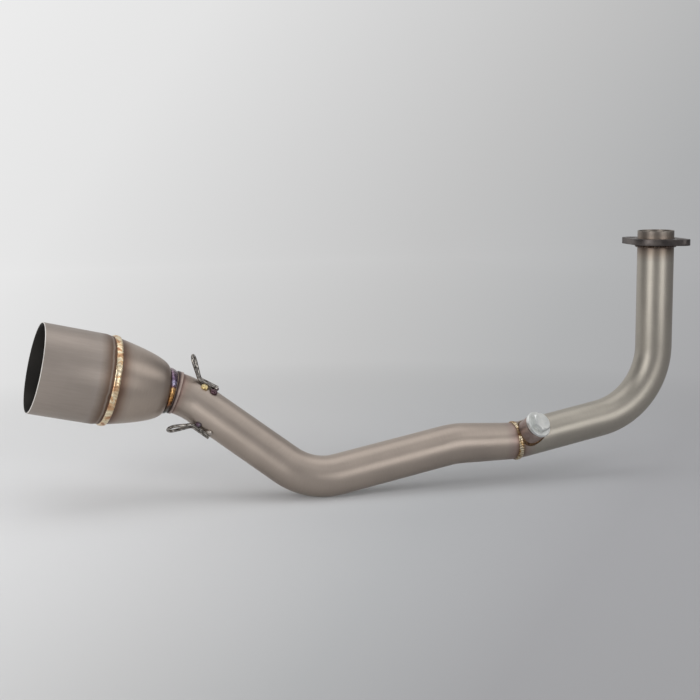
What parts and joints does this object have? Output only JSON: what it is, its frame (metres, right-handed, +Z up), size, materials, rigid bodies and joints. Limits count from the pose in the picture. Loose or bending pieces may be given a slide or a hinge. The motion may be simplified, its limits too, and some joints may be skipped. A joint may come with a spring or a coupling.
{
  "type": "exhaust header pipe",
  "caption": "Bent exhaust header pipe with a two-stud flange, a plugged sensor bung, wire spring hooks and a flared transition to a wide slip-on cup.",
  "frame": {"origin": "middle of the flange's upper, mating face, on the head pipe's axis", "axes": "+Z up along the head pipe out of the spigot, toward the cylinder head; the low run and the cup lie toward -X; -Y is the side that the sensor plug faces"},
  "size_m": [0.625, 0.1239, 0.2353],
  "materials": {
    "tube_steel": "satin brushed along the pipe",
    "cup_steel": "satin brushed round the cup",
    "flange_steel": "heat darkened plate",
    "weld_bead": "gold tinted weld ripples",
    "weld_dark": "brown and violet tinted weld",
    "wire_steel": "bright drawn wire",
    "plug_plate": "bright zinc plate"
  },
  "bodies": {
    "root": {"head_flange": "flange_steel", "flange_weld": "weld_dark", "head_pipe": "tube_steel", "sensor_bung": "tube_steel", "bung_weld": "weld_bead", "plug_washer": "plug_plate", "sensor_plug": "plug_plate", "mid_weld": "weld_bead", "mid_pipe": "tube_steel", "neck_sleeve": "tube_steel", "neck_weld": "weld_dark", "transition_cone": "tube_steel", "cup_weld": "weld_bead", "outlet_cup": "cup_steel", "upper_spring_hook": "wire_steel", "upper_hook_front_weld": "weld_bead", "upper_hook_end_weld": "weld_dark", "lower_spring_hook": "wire_steel", "lower_hook_front_weld": "weld_bead", "lower_hook_end_weld": "weld_dark"}
  },
  "joints": []
}
